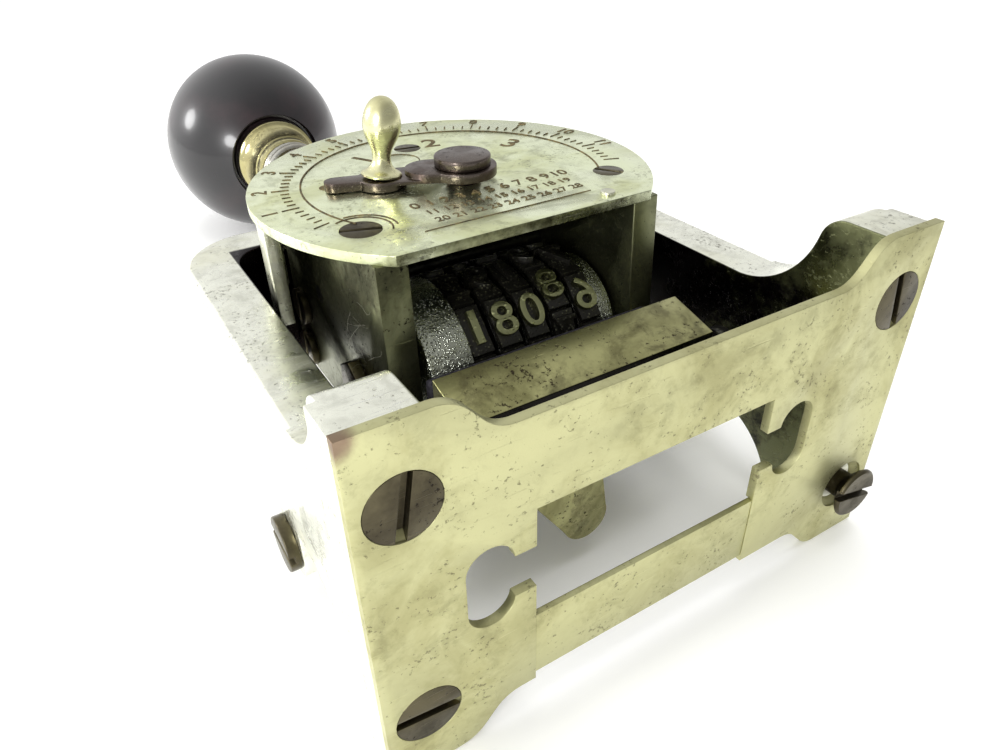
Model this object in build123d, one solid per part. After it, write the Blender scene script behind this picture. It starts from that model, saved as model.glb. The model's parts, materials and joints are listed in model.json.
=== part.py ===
"""Hand-operated automatic numbering machine (press-down number stamp), in millimetres.

+X right, +Y back, +Z up towards the ball handle. The dial plate faces -Y.
The pieces are built about the plunger's axis, and seat() then puts the origin
under the middle of the whole machine, on the surface that the base stands on.
"""
from build123d import *
import math
import os

# ---- driving dimensions: base ----
base_half_x = 38.0           # base plate, half width
base_half_y = 23.9           # base plate, half depth over the ears
base_recess_y = 19.1         # half depth between the ears
base_thick = 1.2
ear_inner_x = 29.8           # where an ear reaches its full depth
ear_recess_x = 21.5          # where the edge is back at the recess
opening_left = -19.5
opening_right = 13.6
opening_front = -7.7
strip_front = 8.2
strip_rear = 18.05
neck_front = -2.6
neck_rear = 3.2
slot_width = 5.6
slot_front = -5.3
slot_rear = 5.8
slot_left_x = -24.9          # centre line of the left slot
slot_right_x = 18.7          # centre line of the right slot
strip_lap = 2.9
strip_low = 0.1              # the strip's face, just inside the plate's
strip_seat = 0.45            # where its ends rest on the plate
strip_high = 0.85
rivet_r = 0.87
rivet_low = 0.2
screw_x = 33.0
screw_y = 14.75
screw_head_r = 3.8
screw_shank_r = 2.0
screw_depth = 9.0

# ---- driving dimensions: yoke ----
leg_inner_x = 29.75
leg_thick = 7.25
leg_half_y = 10.8
window_top = 70.1
yoke_top = 77.6
window_corner_r = 5.5
yoke_corner_r = 11.0
foot_half_y = 23.3
foot_height = 9.0
flare_height = 21.5
skirt = 1.0
lug_y = 16.0                 # ink swing axis
lug_z = 33.5
lug_r = 5.2
pivot_r = 2.5

# ---- driving dimensions: plunger and handle ----
rod_r = 5.0
bush_r = 7.0
bush_flange_r = 9.5
bush_top = 84.0
stroke = 28.5
ball_r = 22.0
ball_z = 166.2
ferrule_top_r = 10.8
ferrule_sleeve_r = 7.8
ferrule_length = 12.0
spring_inner_r = 5.6
spring_outer_r = 7.6

# ---- driving dimensions: carriage ----
cheek_inner_x = 17.2
cheek_thick = 4.2
cheek_bottom = 30.0          # clears the base plate at the end of the stroke
carriage_top = 69.0
crosshead_bottom = 58.0
crosshead_half_y = 9.5
washer_r = 9.0
dial_front = -22.8
dial_thick = 1.4
dial_r = 29.0
dial_z = 51.6
dial_chord = 29.7
housing_wall = 2.0
shell_step = 0.6             # the shell's rim inside the dial's rim
housing_rear = -11.4         # over the crosspiece the shell stays in front of the yoke
wing_rear = -6.0             # between the legs the shell reaches further back
pointer_z = 48.0
pointer_shaft_r = 2.4
knob_x = -10.6
knob_z = 52.3
knob_front = -34.9
tip_x = -16.8
tip_z = 54.2
dial_pin_r = 1.0
dial_pin_x = 13.4
dial_pin_z = 32.05

# ---- driving dimensions: number wheels ----
wheel_y = 0.25
wheel_z = 41.0
wheel_r = 12.7
type_height = 1.0
wheel_pitch = 4.5
drum_width = 3.4
ratchet_width = 0.9
ratchet_r = 9.6
wheel_count = 5
first_wheel_x = -7.1
shaft_r = 2.5
collar_left_r = 12.3
collar_right_r = 9.9
rocker_thick = 1.2
rocker_bar_r = 1.4
rocker_reach = 15.2
rocker_angle = 35.0
detent_reach = 16.0
detent_angle = 120.0

# ---- driving dimensions: inker ----
tray_half_x = 19.0
tray_bottom = 15.2
tray_top = 23.0
tray_front_low = -7.6
tray_front_high = -9.6
tray_rear_low = 8.0
tray_rear_high = 9.0
tray_wall = 1.3
pad_gap = 0.3                # between the pad and the number wheels at rest
arm_inner_x = 24.0
arm_thick = 2.0
tab_x = -0.9                 # middle of the tab's rounded end
tab_r = 3.6
tab_rear = 19.7
tab_root_left = -11.3
tab_root_right = 1.3
tab_thick = 1.2

# ---- clearances ----
run = 0.05                   # radial, a turning or sliding fit
side = 0.1                   # between flat faces that move past each other

leg_outer_x = leg_inner_x + leg_thick
cheek_outer_x = cheek_inner_x + cheek_thick
dial_rear = dial_front + dial_thick
ferrule_top = ball_z - math.sqrt(ball_r**2 - ferrule_top_r**2)
ferrule_bottom = ferrule_top - ferrule_length
origin_shift_y = -(knob_front + base_half_y) / 2
MIRRORED = (-1, 1)


def block(x0, x1, y0, y1, z0, z1):
    """A box given by its low and high corners."""
    return Pos((x0 + x1) / 2, (y0 + y1) / 2, (z0 + z1) / 2) * Box(x1 - x0, y1 - y0, z1 - z0)


def bar_x(r, y, z, x0, x1):
    """A round bar along X."""
    return Pos((x0 + x1) / 2, y, z) * Rot(0, 90, 0) * Cylinder(r, x1 - x0)


def bar_y(r, x, z, y0, y1):
    """A round bar along Y."""
    return Pos(x, (y0 + y1) / 2, z) * Rot(90, 0, 0) * Cylinder(r, y1 - y0)


def bar_z(r, x, y, z0, z1):
    """A round bar along Z."""
    return Pos(x, y, (z0 + z1) / 2) * Cylinder(r, z1 - z0)


def slab_x(points, x0, x1):
    """A flat plate across X: an outline of (y, z) points from x0 to x1."""
    face = Plane.YZ * make_face(Polyline(*points, close=True))
    return Pos(x0, 0, 0) * extrude(face, x1 - x0)


def either_side(x0, x1, side_sign):
    """The two X limits of a piece that is mirrored to the left when side_sign is -1."""
    return min(x0 * side_sign, x1 * side_sign), max(x0 * side_sign, x1 * side_sign)


def group(shapes):
    """Separate solids that share one node."""
    return Compound([solid for shape in shapes for solid in shape.solids()])


def around(radius, degrees, y, z):
    """The (y, z) point at an angle about an axis along X; 0 degrees is straight back."""
    a = math.radians(degrees)
    return y + radius * math.cos(a), z + radius * math.sin(a)


# ---------------------------------------------------------------- frame
def base_outline():
    """The base plate's face: a rectangle with a scalloped recess in its front and rear edges."""
    face = make_face(Rectangle(2 * base_half_x, 2 * base_half_y).wire())
    beyond = base_half_y + 5
    for sign in MIRRORED:
        deep, shallow = sign * base_half_y, sign * base_recess_y
        left = Spline((-ear_inner_x, deep), (-ear_recess_x, shallow), tangents=[(1, 0), (1, 0)])
        middle = Line((-ear_recess_x, shallow), (ear_recess_x, shallow))
        right = Spline((ear_recess_x, shallow), (ear_inner_x, deep), tangents=[(1, 0), (1, 0)])
        rim = Polyline((ear_inner_x, deep), (ear_inner_x, sign * beyond),
                       (-ear_inner_x, sign * beyond), (-ear_inner_x, deep))
        face -= make_face([left, middle, right, rim])
    return face


def base_plate():
    plate = extrude(base_outline(), base_thick)
    over = 1.0
    beyond = base_half_y + over
    plate -= block(opening_left, opening_right, opening_front, beyond, -over, base_thick + over)
    for centre_x, edge_x in ((slot_left_x, opening_left), (slot_right_x, opening_right)):
        near, far = min(centre_x, edge_x), max(centre_x, edge_x)
        plate -= block(near, far, neck_front, neck_rear, -over, base_thick + over)
        half = slot_width / 2
        for end_y in (slot_front + half, slot_rear - half):
            plate -= bar_z(half, centre_x, end_y, -over, base_thick + over)
        plate -= block(centre_x - half, centre_x + half, slot_front + half, slot_rear - half,
                       -over, base_thick + over)
    plate -= block(opening_left - strip_lap - run, opening_right + strip_lap + run,
                   strip_front - run, strip_rear + run, strip_seat, base_thick + over)
    for x in (-screw_x, screw_x):
        for y in (-screw_y, screw_y):
            plate -= bar_z(screw_shank_r + run, x, y, -over, base_thick + over)
            plate -= Pos(x, y, 0) * countersink(screw_head_r + run)
    for x, y in rivet_places():
        plate -= bar_z(rivet_r, x, y, rivet_low, base_thick)
    return plate


def countersink(head_r):
    """A screw head's cone, mouth down, with its rim level with the surface."""
    rim = 0.35
    depth = 1.7
    cone = Pos(0, 0, rim + depth / 2) * Cone(head_r, screw_shank_r, depth)
    return cone + bar_z(head_r, 0, 0, 0, rim)


def rivet_places():
    y = (strip_front + strip_rear) / 2
    return [(opening_left - strip_lap / 2, y), (opening_right + strip_lap / 2, y)]


def guide_strip():
    strip = block(opening_left + run, opening_right - run, strip_front, strip_rear, strip_low, strip_seat)
    strip += block(opening_left - strip_lap, opening_right + strip_lap,
                   strip_front, strip_rear, strip_seat, strip_high)
    for x, y in rivet_places():
        strip -= bar_z(rivet_r, x, y, 0, strip_high + 1)
    return strip


def guide_rivets():
    return group([bar_z(rivet_r, x, y, rivet_low, strip_high) for x, y in rivet_places()])


def base_screw(x, y, turn):
    """A slotted countersunk screw whose head is level with the base plate's underside."""
    slot_wide = 1.1
    slot_deep = 1.0
    screw = countersink(screw_head_r) + bar_z(screw_shank_r, 0, 0, 1.0, screw_depth)
    slot = block(-screw_head_r - 1, screw_head_r + 1, -slot_wide / 2, slot_wide / 2, -1, slot_deep)
    return Pos(x, y, 0) * (screw - Rot(0, 0, turn) * slot)


def base_screws():
    places = ((-screw_x, -screw_y, 100), (screw_x, -screw_y, 80), (-screw_x, screw_y, 8))
    return group([base_screw(*place) for place in places])


def base_screw_rear_right():
    return base_screw(screw_x, screw_y, 5)


def foot_profile():
    """One foot from the side: a block that sweeps up into the leg on both sides."""
    lines = []
    for sign in MIRRORED:
        hip = (sign * leg_half_y, flare_height)
        knee = (sign * (foot_half_y - 2.7), foot_height + 1.2)
        waist = (sign * (leg_half_y + 3.1), foot_height + 5.2)
        toe = (sign * foot_half_y, foot_height - 2.2)
        brow = (sign * (foot_half_y - 0.7), foot_height - 0.1)
        lines.append(ThreePointArc(hip, waist, knee))
        lines.append(ThreePointArc(knee, brow, toe))
        lines.append(Line(toe, (sign * foot_half_y, base_thick)))
    lines.append(Line((-leg_half_y, flare_height), (leg_half_y, flare_height)))
    lines.append(Line((-foot_half_y, base_thick), (foot_half_y, base_thick)))
    return Plane.YZ * make_face(lines)


def frame_yoke():
    outer = Pos(0, (base_thick + yoke_top) / 2) * Rectangle(2 * leg_outer_x, yoke_top - base_thick)
    outer = fillet(outer.vertices().group_by(Axis.Y)[-1], yoke_corner_r)
    low = base_thick - 1
    window = Pos(0, (low + window_top) / 2) * Rectangle(2 * leg_inner_x, window_top - low)
    window = fillet(window.vertices().group_by(Axis.Y)[-1], window_corner_r)
    yoke = Pos(0, leg_half_y, 0) * extrude(Plane.XZ * (outer - window), 2 * leg_half_y)
    edges = yoke.edges()
    outside = [e for e in edges if abs(e.center().Y) > leg_half_y - 0.1
               and (abs(e.center().X) > leg_outer_x - 4 or e.center().Z > yoke_top - 4)
               and e.center().Z > base_thick + 0.1]
    yoke = chamfer(outside, 0.6)
    for sign in MIRRORED:
        x0, x1 = either_side(leg_inner_x, leg_outer_x, sign)
        yoke += Pos(x0, 0, 0) * extrude(foot_profile(), x1 - x0)
        x0, x1 = either_side(leg_outer_x, leg_outer_x + skirt, sign)
        yoke += block(x0, x1, -foot_half_y, foot_half_y, base_thick, foot_height - 2.2)
        x0, x1 = either_side(leg_inner_x, leg_outer_x, sign)
        yoke += bar_x(lug_r, lug_y, lug_z, x0, x1)
        yoke += block(x0, x1, leg_half_y - 1, lug_y, lug_z - lug_r, lug_z + lug_r)
        yoke -= bar_x(pivot_r, lug_y, lug_z, x0 - 1, x1 + 1)
        for y in (-screw_y, screw_y):
            yoke -= bar_z(screw_shank_r + run, sign * screw_x, y, base_thick - 1, screw_depth + 0.3)
            yoke -= Pos(sign * screw_x, y, 0) * countersink(screw_head_r + run)
    yoke += bar_z(bush_flange_r + 1.0, 0, 0, yoke_top - 1, yoke_top + 1.6)
    yoke -= bar_z(bush_r, 0, 0, window_top - 1, yoke_top + 5)
    return yoke


def plunger_bush():
    flange_low = yoke_top + 1.6
    bush = bar_z(bush_r, 0, 0, window_top, bush_top - 1.2)
    bush += bar_z(bush_flange_r, 0, 0, flange_low, flange_low + 2.2)
    bush += bar_z(spring_outer_r, 0, 0, flange_low, bush_top)
    return bush - bar_z(rod_r + run, 0, 0, window_top - 1, bush_top + 1)


def inker_pivot_screws():
    screws = []
    head_r = 4.0
    head_thick = 1.6
    for sign in MIRRORED:
        x0, x1 = either_side(arm_inner_x, leg_outer_x, sign)
        pin = bar_x(pivot_r, lug_y, lug_z, x0, x1)
        x0, x1 = either_side(leg_outer_x, leg_outer_x + head_thick, sign)
        head = bar_x(head_r, lug_y, lug_z, x0, x1)
        x0, x1 = either_side(leg_outer_x + head_thick / 2, leg_outer_x + head_thick + 1, sign)
        slot = block(x0, x1, lug_y - 0.6, lug_y + 0.6, lug_z - head_r - 1, lug_z + head_r + 1)
        screws.append(pin + head - slot)
    return group(screws)


# ---------------------------------------------------------------- plunger and handle
def plunger_rod():
    rod = bar_z(rod_r, 0, 0, crosshead_bottom + 2, ferrule_top + 14)
    return chamfer(rod.edges().group_by(Axis.Z)[-1], 1.0)


def stop_washer():
    top = window_top - side
    washer = bar_z(washer_r, 0, 0, carriage_top, top)
    return washer - bar_z(rod_r, 0, 0, carriage_top - 1, top + 1)


def ball_handle():
    ball = Pos(0, 0, ball_z) * Sphere(ball_r)
    ball -= block(-ball_r, ball_r, -ball_r, ball_r, ball_z - ball_r - 1, ferrule_top)
    return ball - bar_z(rod_r, 0, 0, ferrule_top - 1, ferrule_top + 14)


def handle_ferrule():
    lip = 2.3
    neck_z = ferrule_bottom + 3.2
    low_rim = ferrule_top - lip
    flare = ThreePointArc((ferrule_sleeve_r, neck_z), (ferrule_sleeve_r + 1.2, low_rim - 2.6),
                          (ferrule_top_r - 0.7, low_rim))
    outline = [
        Line((rod_r, ferrule_bottom), (ferrule_sleeve_r, ferrule_bottom)),
        Line((ferrule_sleeve_r, ferrule_bottom), (ferrule_sleeve_r, neck_z)),
        flare,
        Line((ferrule_top_r - 0.7, low_rim), (ferrule_top_r, low_rim)),
        Line((ferrule_top_r, low_rim), (ferrule_top_r, ferrule_top)),
        Line((ferrule_top_r, ferrule_top), (rod_r, ferrule_top)),
        Line((rod_r, ferrule_top), (rod_r, ferrule_bottom)),
    ]
    return revolve(Plane.XZ * make_face(outline), Axis.Z)


def return_spring():
    tube = bar_z(spring_outer_r, 0, 0, bush_top + run, ferrule_bottom)
    return tube - bar_z(spring_inner_r, 0, 0, bush_top, ferrule_bottom + 1)


# ---------------------------------------------------------------- carriage
def crosshead():
    head = block(-cheek_inner_x, cheek_inner_x, -crosshead_half_y, crosshead_half_y,
                 crosshead_bottom, carriage_top)
    post_z = carriage_top - 2.6
    head += bar_y(2.5, 0, post_z, dial_rear, -crosshead_half_y + 1)
    head -= bar_y(dial_screw_r(), 0, post_z, dial_rear - 1, dial_rear + 5)
    head -= bar_z(rod_r, 0, 0, crosshead_bottom + 2, carriage_top + 1)
    return head


def cheek_points():
    """A side plate's outline; its front shoulder stays under the curved shell."""
    rear = crosshead_half_y
    shell_r = dial_r - shell_step - housing_wall
    shoulder = dial_z + math.sqrt(shell_r**2 - cheek_outer_x**2) - 0.6
    step_y = housing_rear + 0.4
    return [(dial_rear, cheek_bottom + 0.8), (wheel_y + 1, cheek_bottom), (rear, cheek_bottom + 10),
            (rear, carriage_top), (step_y, carriage_top), (step_y, shoulder), (dial_rear, shoulder - 3)]


def cheek(sign):
    x0, x1 = either_side(cheek_inner_x, cheek_outer_x, sign)
    plate = slab_x(cheek_points(), x0, x1)
    plate -= bar_x(shaft_r, wheel_y, wheel_z, x0 - 1, x1 + 1)
    y, z = around(detent_reach, detent_angle, wheel_y, wheel_z)
    plate -= bar_x(rocker_bar_r, y, z, x0 - 1, x1 + 1)
    plate -= bar_y(dial_screw_r(), sign * cheek_screw_x(), cheek_screw_z(), dial_rear - 1, dial_rear + 5)
    return plate


def side_plate_left():
    return cheek(-1)


def side_plate_right():
    return cheek(1)


def cheek_screw_x():
    return (cheek_inner_x + cheek_outer_x) / 2


def cheek_screw_z():
    return dial_z - 12.2


def dial_screw_r():
    return 1.2


def dial_screw_places():
    """x, z, head radius and slot angle of the screws that hold the dial plate."""
    return ((-cheek_screw_x(), cheek_screw_z(), 2.7, 20), (cheek_screw_x(), cheek_screw_z(), 2.2, 60),
            (0, carriage_top - 2.6, 2.1, 10))


def dial_plate():
    disc = bar_y(dial_r, 0, dial_z, dial_front, dial_rear)
    reach = dial_r + 1
    plate = disc - block(-reach, reach, dial_front - 1, dial_rear + 1, dial_z - reach, dial_chord)
    plate -= bar_y(pointer_shaft_r + run, 0, pointer_z, dial_front - 1, dial_rear + 1)
    for x, z, head_r, _ in dial_screw_places():
        plate -= bar_y(dial_screw_r(), x, z, dial_front - 1, dial_rear + 1)
        plate -= bar_y(head_r, x, z, dial_front - 1, dial_front + dial_thick / 2)
    return plate - bar_y(dial_pin_r, dial_pin_x, dial_pin_z, dial_front - 1, dial_rear + 1)


def dial_screws():
    screws = []
    for x, z, head_r, angle in dial_screw_places():
        head = bar_y(head_r, 0, 0, dial_front, dial_front + dial_thick / 2)
        shank = bar_y(dial_screw_r(), 0, 0, dial_front, dial_rear + 4.5)
        slot = block(-head_r, head_r, dial_front - 1, dial_front + 0.4, -0.35, 0.35)
        screws.append(Pos(x, 0, z) * (head + shank - Rot(0, angle, 0) * slot))
    return group(screws)


def dial_pin():
    """The stop pin near the right end of the dial's straight edge."""
    return bar_y(dial_pin_r, dial_pin_x, dial_pin_z, dial_front - 0.4, dial_rear + 0.5)


def dial_housing():
    """The curved shell behind the dial's rim: a deep arch in front, and a wing down each side."""
    outer_r = dial_r - shell_step
    inner_r = outer_r - housing_wall
    ring = bar_y(outer_r, 0, dial_z, dial_rear, wing_rear) - bar_y(inner_r, 0, dial_z, dial_rear, wing_rear)
    keep_low = dial_z
    ring -= block(-dial_r, dial_r, dial_rear - 1, wing_rear + 1, dial_z - dial_r, keep_low)
    wing_top = window_top - window_corner_r
    ring -= block(-dial_r, dial_r, housing_rear, wing_rear + 1, wing_top, dial_z + dial_r)
    return ring


def crosshead_screws():
    screws = []
    head_thick = 1.2
    for sign in MIRRORED:
        for y in (-2.2, 5.6):
            z = (crosshead_bottom + carriage_top) / 2
            x0, x1 = either_side(cheek_outer_x, cheek_outer_x + head_thick, sign)
            head = bar_x(3.0, y, z, x0, x1)
            x0, x1 = either_side(cheek_outer_x + head_thick / 2, cheek_outer_x + head_thick + 1, sign)
            screws.append(head - block(x0, x1, y - 4, y + 4, z - 0.5, z + 0.5))
    return group(screws)


# ---------------------------------------------------------------- number wheels
def wheel_shaft():
    return bar_x(shaft_r, wheel_y, wheel_z, -cheek_outer_x, cheek_outer_x)


def shaft_nuts():
    nuts = []
    for sign in MIRRORED:
        x0, x1 = either_side(cheek_outer_x, cheek_outer_x + 1.8, sign)
        plane = Plane(origin=(x0, wheel_y, wheel_z), x_dir=(0, 1, 0), z_dir=(1, 0, 0))
        nuts.append(extrude(plane * RegularPolygon(4.0, 6), x1 - x0))
    return group(nuts)


def stack_left():
    """The left face of the first number wheel."""
    return first_wheel_x - wheel_pitch / 2 + side


def stack_right():
    """The right face of the last number wheel."""
    return first_wheel_x + (wheel_count - 0.5) * wheel_pitch


def collar_left():
    x0, x1 = -cheek_inner_x + rocker_thick + 2 * side, stack_left() - side
    return bar_x(collar_left_r, wheel_y, wheel_z, x0, x1) - bar_x(shaft_r, wheel_y, wheel_z, x0 - 1, x1 + 1)


def collar_right():
    x0, x1 = stack_right() + side, cheek_inner_x - rocker_thick - 2 * side
    return bar_x(collar_right_r, wheel_y, wheel_z, x0, x1) - bar_x(shaft_r, wheel_y, wheel_z, x0 - 1, x1 + 1)


def number_wheel(index):
    """A drum with ten raised type blocks and a ratchet on its right."""
    left = first_wheel_x + index * wheel_pitch - wheel_pitch / 2 + side
    right = left + drum_width
    wheel = bar_x(wheel_r - type_height, 0, 0, left, right)
    for k in range(10):
        stud = block(left + 0.2, right - 0.2, -2.3, 2.3, wheel_r - type_height - 1, wheel_r - 0.1)
        wheel += Rot(36 * k, 0, 0) * stud
    wheel += bar_x(ratchet_r, 0, 0, right, right + ratchet_width)
    for k in range(10):
        notch = block(right, right + ratchet_width, -0.8, 0.8, ratchet_r - 1.4, ratchet_r + 1)
        wheel -= Rot(36 * k + 18, 0, 0) * notch
    wheel -= bar_x(shaft_r + run, 0, 0, left - 1, right + 2)
    return Pos(0, wheel_y, wheel_z) * wheel


def finger_group(reach, angle, width):
    """Flat fingers that reach from a bar to the ratchets, one to each wheel."""
    fingers = []
    tip = ratchet_r + 0.3
    length = reach - rocker_bar_r - tip
    for index in range(wheel_count):
        x = first_wheel_x + index * wheel_pitch - wheel_pitch / 2 + side + drum_width + ratchet_width / 2
        finger = block(x - width / 2, x + width / 2, tip, tip + length, -0.5, 0.5)
        fingers.append(Pos(0, wheel_y, wheel_z) * Rot(angle, 0, 0) * finger)
    return fingers


def detent_bar():
    y, z = around(detent_reach, detent_angle, wheel_y, wheel_z)
    return bar_x(rocker_bar_r, y, z, -cheek_outer_x, cheek_outer_x)


def detent_springs():
    return group(finger_group(detent_reach, detent_angle, 0.6))


def feed_rocker():
    """A swinging frame on the wheel shaft that carries the feed pawl's bar behind the wheels."""
    bar_y0, bar_z0 = around(rocker_reach, rocker_angle, wheel_y, wheel_z)
    reach = cheek_inner_x - side
    rocker = bar_x(rocker_bar_r, bar_y0, bar_z0, -reach, reach)
    for sign in MIRRORED:
        x0, x1 = either_side(reach - rocker_thick, reach, sign)
        rocker += bar_x(4.6, wheel_y, wheel_z, x0, x1)
        arm = block(x0, x1, 0, rocker_reach, -2.4, 2.4)
        rocker += Pos(0, wheel_y, wheel_z) * Rot(rocker_angle, 0, 0) * arm
        rocker += bar_x(2.4, bar_y0, bar_z0, x0, x1)
    return rocker - bar_x(shaft_r + run, wheel_y, wheel_z, -reach - 1, reach + 1)


def feed_pawl():
    return group(finger_group(rocker_reach, rocker_angle, 0.6))


# ---------------------------------------------------------------- selector pointer
def pointer_levels():
    """Y of the lever's underside and top, at the low tip and at the raised pivot end."""
    lever_thick = 1.3
    low = dial_front - 0.15
    raised = dial_front - 0.95
    return low, low - lever_thick, raised, raised - lever_thick


def pointer_lever():
    low, low_top, raised, raised_top = pointer_levels()
    pivot_part = bar_y(4.8, 0, pointer_z, raised_top, raised)
    joggle = 0.42
    bend_x, bend_z = knob_x * joggle, pointer_z + (knob_z - pointer_z) * joggle
    lever = pivot_part + arm_between((0, pointer_z), (bend_x, bend_z), 3.4, raised_top, raised)
    lever += arm_between((bend_x, bend_z), (knob_x, knob_z), 3.2, low_top, raised)
    lever += arm_between((knob_x, knob_z), (tip_x, tip_z), 1.5, low_top, low)
    lever += bar_y(3.4, knob_x, knob_z, low_top, low)
    lever -= bar_y(pointer_shaft_r, 0, pointer_z, raised_top - 1, low + 1)
    return lever - bar_y(1.0, knob_x, knob_z, low_top - 1, low + 1)


def arm_between(start, end, half_width, y0, y1):
    """A straight flat arm on the dial, with round ends, between two (x, z) points."""
    dx, dz = end[0] - start[0], end[1] - start[1]
    length = math.hypot(dx, dz)
    angle = math.degrees(math.atan2(dz, dx))
    arm = block(0, length, y0, y1, -half_width, half_width)
    arm += bar_y(half_width, 0, 0, y0, y1) + bar_y(half_width, length, 0, y0, y1)
    return Pos(start[0], 0, start[1]) * Rot(0, -angle, 0) * arm


def pointer_knob():
    """A turned vase-shaped knob with a flange at its foot."""
    foot = pointer_levels()[1]
    height = foot - knob_front
    lines = [
        Line((0, 0), (2.8, 0)),
        Line((2.8, 0), (2.8, 0.5)),
        ThreePointArc((2.8, 0.5), (2.2, 1.3), (1.5, 2.2)),
        Spline((1.5, 2.2), (1.6, 3.6), (2.6, height - 3.4), (0, height),
               tangents=[(-0.1, 1), (-1, 0)]),
        Line((0, height), (0, 0)),
    ]
    knob = revolve(Plane.XZ * make_face(lines), Axis.Z)
    stem = bar_z(1.0, 0, 0, -1.2, 0.5)
    return Pos(knob_x, foot, knob_z) * Rot(90, 0, 0) * (knob + stem)


def pointer_shaft():
    raised_top = pointer_levels()[3]
    shaft = bar_y(pointer_shaft_r, 0, pointer_z, raised_top, dial_rear + side)
    return shaft + bar_y(4.0, 0, pointer_z, raised_top - 1.5, raised_top)


def selector_cam():
    low = dial_rear + side
    cam = bar_y(6.0, 0, pointer_z, low, low + 1.6)
    return cam - block(-2, 2, low - 1, low + 3, pointer_z + 4.4, pointer_z + 7)


# ---------------------------------------------------------------- inker
def ink_tray():
    low_rear, high_rear = tray_rear_low, tray_rear_high
    outline = [(tray_front_low, tray_bottom), (low_rear, tray_bottom), (high_rear, tray_top),
               (tray_front_high, tray_top)]
    tray = slab_x(outline, -tray_half_x, tray_half_x)
    tray -= pad_space(0)
    return tray + tray_tab()


def tray_tab():
    """The tongue behind the tray: one long sloping side and a rounded end."""
    root_y = tray_rear_low - 1
    centre_y = tab_rear - tab_r
    slope = math.atan2(tab_x - tab_root_left, centre_y - root_y)
    shoulder = (tab_x - tab_r * math.cos(slope), centre_y + tab_r * math.sin(slope))
    outline = Polyline((tab_root_left, root_y), shoulder, (tab_x, centre_y),
                       (tab_x + tab_r, centre_y), (tab_root_right, root_y), close=True)
    tongue = Pos(0, 0, tray_bottom) * extrude(make_face(outline), tab_thick)
    return tongue + bar_z(tab_r, tab_x, centre_y, tray_bottom, tray_bottom + tab_thick)


def pad_space(gap):
    """The block that the pad fills, smaller by gap on every side."""
    pad_top = wheel_z - wheel_r - pad_gap
    x = tray_half_x - tray_wall - gap
    return block(-x, x, tray_front_low + tray_wall + gap, tray_rear_low - tray_wall - gap,
                 tray_bottom + tray_wall + gap, pad_top)


def ink_pad():
    return pad_space(0)


def inker_arm(sign):
    stud_z = tray_bottom + 4.0
    x0, x1 = either_side(arm_inner_x, arm_inner_x + arm_thick, sign)
    dy, dz = -1.0 - lug_y, stud_z - lug_z
    length = math.hypot(dy, dz)
    arm = block(x0, x1, 0, length, -3.2, 3.2)
    arm = Pos(0, lug_y, lug_z) * Rot(math.degrees(math.atan2(dz, dy)), 0, 0) * arm
    arm += bar_x(4.6, lug_y, lug_z, x0, x1) + bar_x(3.2, -1.0, stud_z, x0, x1)
    s0, s1 = either_side(tray_half_x, arm_inner_x + 0.5, sign)
    arm += bar_x(2.2, -1.0, stud_z, s0, s1)
    b0, b1 = either_side(arm_inner_x, leg_inner_x - side, sign)
    arm += bar_x(4.2, lug_y, lug_z, b0, b1)
    h0, h1 = either_side(arm_inner_x - 1, leg_inner_x + 1, sign)
    return arm - bar_x(pivot_r + run, lug_y, lug_z, h0, h1)


def inker_arm_left():
    return inker_arm(-1)


def inker_arm_right():
    return inker_arm(1)


def seat(shape):
    """Moves a piece from the plunger's axis to the shared origin."""
    return Pos(0, origin_shift_y, 0) * shape


PIECES = (
    frame_yoke, base_plate, guide_strip, guide_rivets, base_screws, base_screw_rear_right,
    plunger_bush, inker_pivot_screws, plunger_rod, stop_washer, ball_handle, handle_ferrule,
    return_spring, crosshead, side_plate_left, side_plate_right, dial_plate, dial_screws,
    dial_pin, dial_housing, crosshead_screws, wheel_shaft, shaft_nuts, collar_left,
    collar_right, detent_bar, detent_springs, feed_rocker, feed_pawl, pointer_lever,
    pointer_knob, pointer_shaft, selector_cam, ink_tray, ink_pad, inker_arm_left, inker_arm_right,
)

os.makedirs("parts", exist_ok=True)
for piece in PIECES:
    export_step(seat(piece()), f"parts/{piece.__name__}.step")
for number in range(wheel_count):
    export_step(seat(number_wheel(number)), f"parts/number_wheel_{number + 1}.step")
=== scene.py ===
import json
import math
import random

import bpy
from mathutils import Matrix, Vector


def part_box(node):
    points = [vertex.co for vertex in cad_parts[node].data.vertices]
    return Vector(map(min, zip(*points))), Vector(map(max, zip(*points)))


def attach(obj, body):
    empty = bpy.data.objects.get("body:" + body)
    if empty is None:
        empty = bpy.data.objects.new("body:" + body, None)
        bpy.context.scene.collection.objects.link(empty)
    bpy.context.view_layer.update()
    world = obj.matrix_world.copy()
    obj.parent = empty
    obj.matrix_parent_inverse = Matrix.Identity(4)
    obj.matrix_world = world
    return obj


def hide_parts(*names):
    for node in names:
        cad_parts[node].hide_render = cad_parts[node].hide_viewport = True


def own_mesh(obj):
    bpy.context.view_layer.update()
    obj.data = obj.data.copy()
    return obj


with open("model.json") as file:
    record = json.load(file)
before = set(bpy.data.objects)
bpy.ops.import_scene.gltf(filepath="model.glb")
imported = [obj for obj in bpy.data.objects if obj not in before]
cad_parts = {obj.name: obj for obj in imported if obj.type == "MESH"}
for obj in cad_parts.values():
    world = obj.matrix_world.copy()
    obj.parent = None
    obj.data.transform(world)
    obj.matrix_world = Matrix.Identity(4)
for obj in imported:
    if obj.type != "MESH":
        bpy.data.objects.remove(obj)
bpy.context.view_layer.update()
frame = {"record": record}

MM = 0.001
BODY_OF = {node: body for body, nodes in frame["record"]["behaviour"]["bodies"].items()
           for node in nodes}


# ---------------------------------------------------------------- places taken from the frame
def span(node):
    """A node's lowest and highest corners at rest, as vectors."""
    low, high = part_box(node)
    return Vector(low), Vector(high)


def middle(node):
    low, high = span(node)
    return (low + high) / 2


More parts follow.
